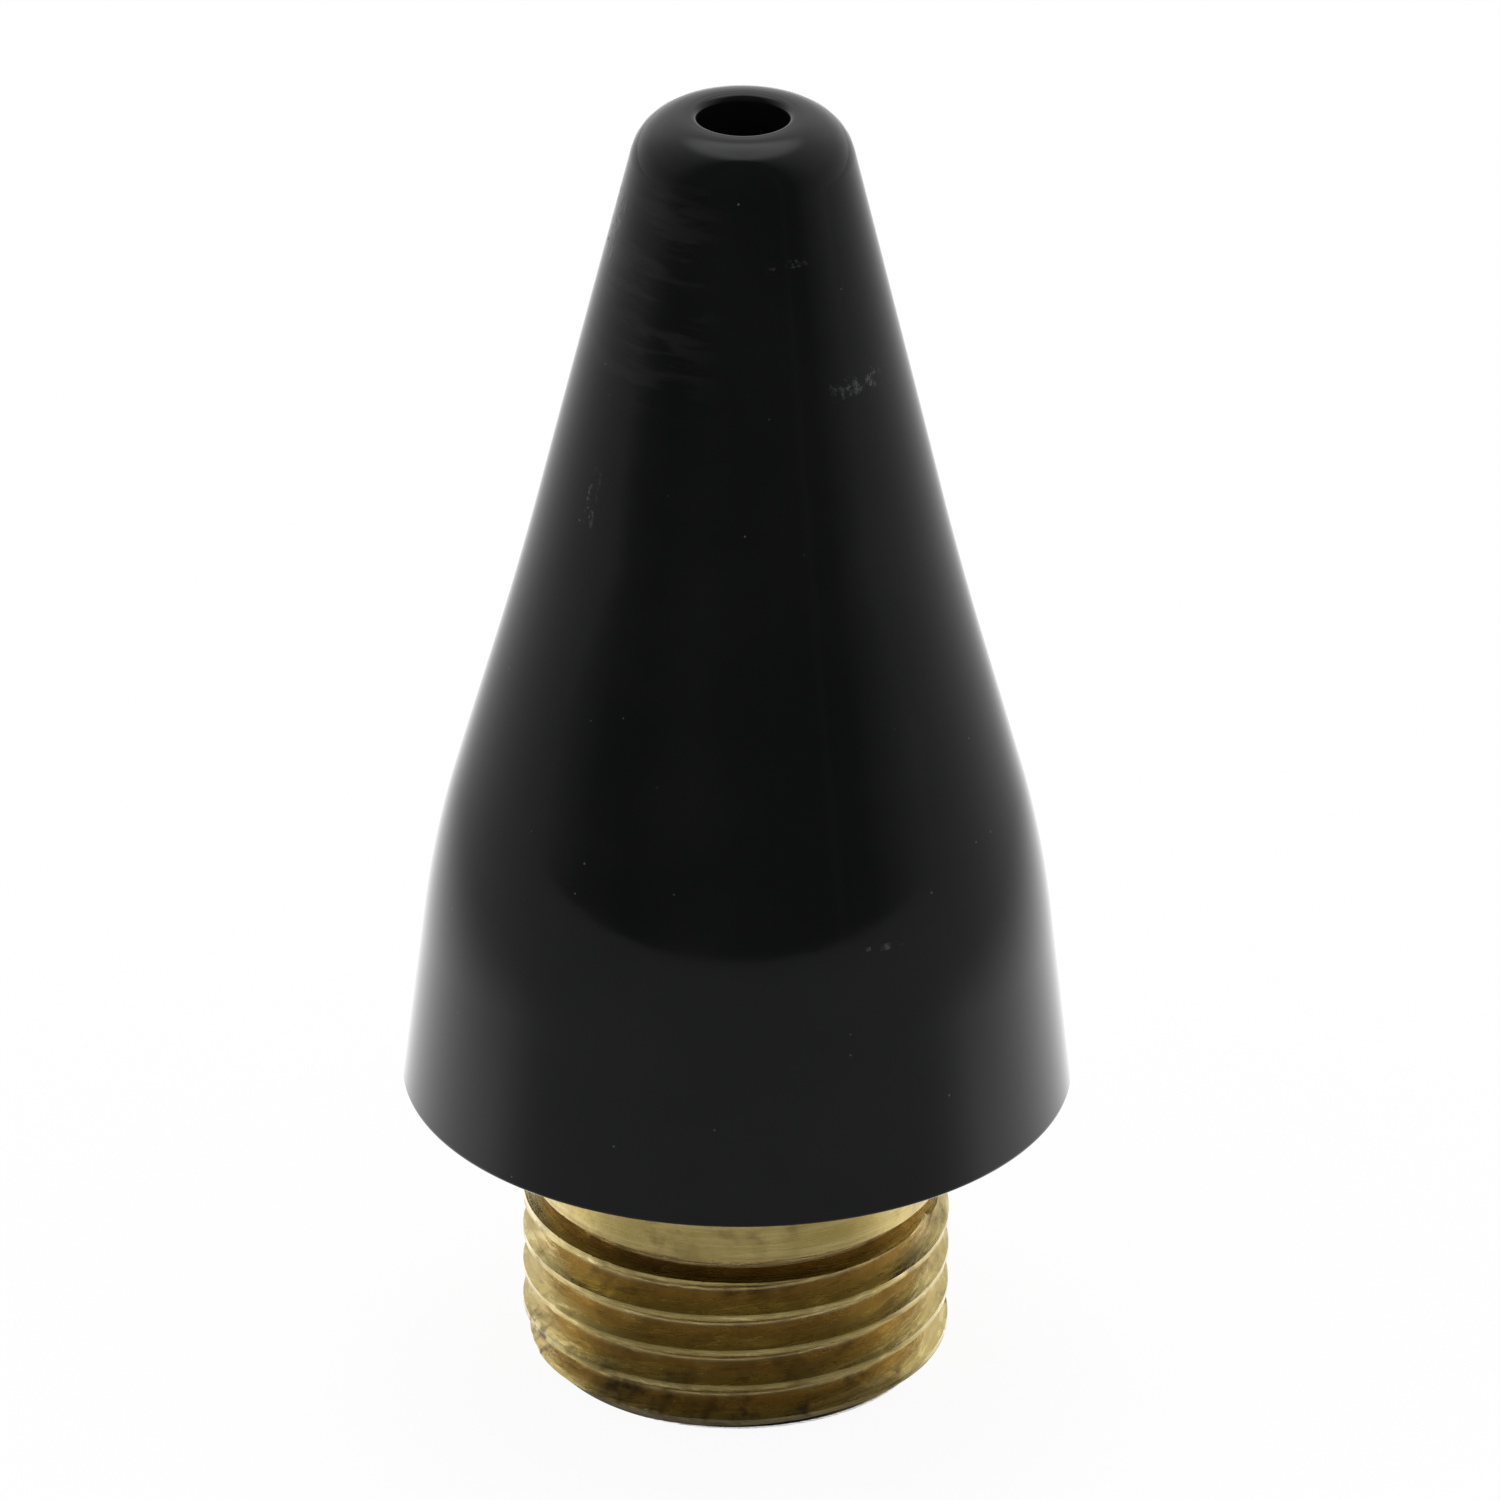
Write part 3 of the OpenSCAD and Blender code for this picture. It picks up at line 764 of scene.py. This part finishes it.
def build_stage():
    """A plain pale floor. It shows nearly white to the camera, as an overexposed sweep does.

    In reflections it also glows beside and behind the part. The glow is full up to 25 mm from the
    axis and gone by 70 mm."""
    bpy.ops.mesh.primitive_circle_add(vertices=128, radius=FLOOR_R, fill_type="NGON")
    floor = bpy.context.object
    floor.name = "floor"
    g = Graph("pale_floor")
    material = g.feed(Base_Color=(0.86, 0.86, 0.86), Roughness=0.9, Specular_IOR_Level=0.0)
    glow = g.add("ShaderNodeEmission")
    blend = g.add("ShaderNodeMixShader")
    path = g.add("ShaderNodeLightPath")
    glow.inputs["Color"].default_value = (1.0, 1.0, 1.0, 1.0)
    facing = g.math("DIVIDE", g.math("MULTIPLY", g.y, -1.0), g.math("ADD", g.radius, 0.1))
    aside = g.math("MULTIPLY", g.fit(facing, 0.65, 0.1), g.fit(g.radius, 70, 25))
    aside = g.math("MULTIPLY", aside, path.outputs["Is Glossy Ray"])
    seen = g.math("MULTIPLY", path.outputs["Is Camera Ray"], 0.94)
    share = g.math("ADD", seen, g.math("MULTIPLY", aside, 0.75))
    g.link(share, blend.inputs["Fac"])
    g.link(g.math("ADD", g.math("MULTIPLY", aside, 1.6), 1.0), glow.inputs["Strength"])
    g.link(g.shader.outputs[0], blend.inputs[1])
    g.link(glow.outputs[0], blend.inputs[2])
    g.link(blend.outputs[0], g.tree.nodes["Material Output"].inputs["Surface"])
    floor.data.materials.append(material)


def build_world():
    """A studio: bright behind and at the sides, dark on the camera's side, with a bright panel overhead.

    Reflections see the studio. The camera sees plain white, and the matte surfaces a light grey."""
    world = bpy.data.worlds.new("studio")
    bpy.context.scene.world = world
    world.use_nodes = True
    tree = world.node_tree
    tree.nodes.clear()
    make = tree.nodes.new

    def math_node(operation, a, b=0.0):
        node = make("ShaderNodeMath")
        node.operation = operation
        for value, socket in zip((a, b), node.inputs):
            if hasattr(value, "is_linked"):
                tree.links.new(value, socket)
            else:
                socket.default_value = value
        return node.outputs[0]

    def range_node(value, kind, *numbers):
        """Maps the first two numbers to the last two."""
        node = make("ShaderNodeMapRange")
        node.interpolation_type = kind
        tree.links.new(value, node.inputs[0])
        for number, socket in zip(numbers, node.inputs[1:5]):
            socket.default_value = number
        return node.outputs[0]

    split = make("ShaderNodeSeparateXYZ")
    tree.links.new(make("ShaderNodeTexCoord").outputs["Generated"], split.inputs[0])
    x, y, z = split.outputs
    turn = math_node("DIVIDE", math_node("ARCTAN2", x, math_node("MULTIPLY", y, -1.0)), 2 * math.pi)
    ramp = make("ShaderNodeValToRGB")
    # degrees from the camera's side, with plus to the right, and how bright the studio is there
    stops = [(-180, 1.1), (-145, 1.55), (-108, 1.15), (-85, 0.8), (-62, 0.22), (-53, 0.16), (-44, 0.13),
             (-20, 0.2), (0, 0.16), (36, 0.15), (39, 0.26), (42, 0.15), (53, 0.18), (58, 0.32), (85, 0.95),
             (108, 1.25), (145, 1.45), (180, 1.1)]
    brightest = max(level for _, level in stops)
    while len(ramp.color_ramp.elements) < len(stops):
        ramp.color_ramp.elements.new(0.5)
    for element, (degrees, level) in zip(ramp.color_ramp.elements, stops):
        element.position = degrees / 360 + 0.5
        element.color = (level / brightest,) * 3 + (1,)
    tree.links.new(math_node("ADD", turn, 0.5), ramp.inputs[0])
    rise = range_node(z, "SMOOTHSTEP", 0.25, 0.5, brightest, brightest * 1.14)
    path = make("ShaderNodeLightPath").outputs
    upward = math_node("ADD", math_node("MULTIPLY", y, 0.384), math_node("MULTIPLY", z, 0.923))
    overhead = range_node(upward, "SMOOTHERSTEP", 0.86, 0.99, 0.0, 2.5)
    room = math_node("ADD", math_node("MULTIPLY", ramp.outputs[0], rise), overhead)
    studio = math_node("MULTIPLY", room, path["Is Glossy Ray"])
    matte = math_node("MULTIPLY", math_node("SUBTRACT", 1.0, path["Is Glossy Ray"]), 0.6)
    level = math_node("MAXIMUM", math_node("ADD", studio, matte), path["Is Camera Ray"])
    background = make("ShaderNodeBackground")
    background.inputs["Color"].default_value = (1, 1, 1, 1)
    tree.links.new(level, background.inputs["Strength"])
    tree.links.new(background.outputs[0], make("ShaderNodeOutputWorld").inputs[0])


def add_softbox(name, place, size, power):
    """A large soft light aimed at the object, which reflections don't see."""
    light = bpy.data.lights.new(name, "AREA")
    light.shape, light.size, light.energy = "SQUARE", size, power
    box = bpy.data.objects.new(name, light)
    box.location = place
    aim = Vector((0, 0, 0.02)) - Vector(place)
    box.rotation_euler = aim.to_track_quat("-Z", "Y").to_euler()
    box.visible_glossy = False
    bpy.context.collection.objects.link(box)


def build_lights():
    add_softbox("softbox_left", (-0.35, -0.12, 0.5), 0.4, 0.35)
    add_softbox("softbox_right", (0.35, -0.12, 0.5), 0.4, 0.35)
    add_softbox("softbox_top", (0.0, 0.187, 0.48), 0.33, 1.3)


def build_camera():
    """The photograph's viewpoint: 0.34 m away and 28 degrees above the shell's base, through a long lens."""
    distance, height = 0.300, 0.1604
    roll = math.radians(0.37)
    aim_right, aim_up = 0.000736, 0.021251  # slopes from the base's centre to the middle of the view
    base = Vector((0, 0, BASE_Z * MM))
    camera = bpy.data.cameras.new("camera")
    camera.lens, camera.sensor_width = 358.8, 36
    camera.clip_start, camera.clip_end = 0.01, 10
    view = bpy.data.objects.new("camera", camera)
    bpy.context.collection.objects.link(view)
    view.location = base + Vector((0, -distance, height))
    look = (base - view.location).normalized()
    right = Vector((1, 0, 0))
    up = right.cross(look)
    forward = (look + right * aim_right + up * aim_up).normalized()
    right = forward.cross(up).normalized()
    up = right.cross(forward)
    turn = Matrix((right, up, -forward)).transposed()
    view.rotation_euler = (turn @ Matrix.Rotation(roll, 3, "Z")).to_euler()
    bpy.context.scene.camera = view


build_shell()
build_spigot()
build_felt()
build_spring()
dress_nodes()
build_stage()
build_world()
build_lights()
build_camera()
bpy.context.scene.view_settings.view_transform = "Standard"
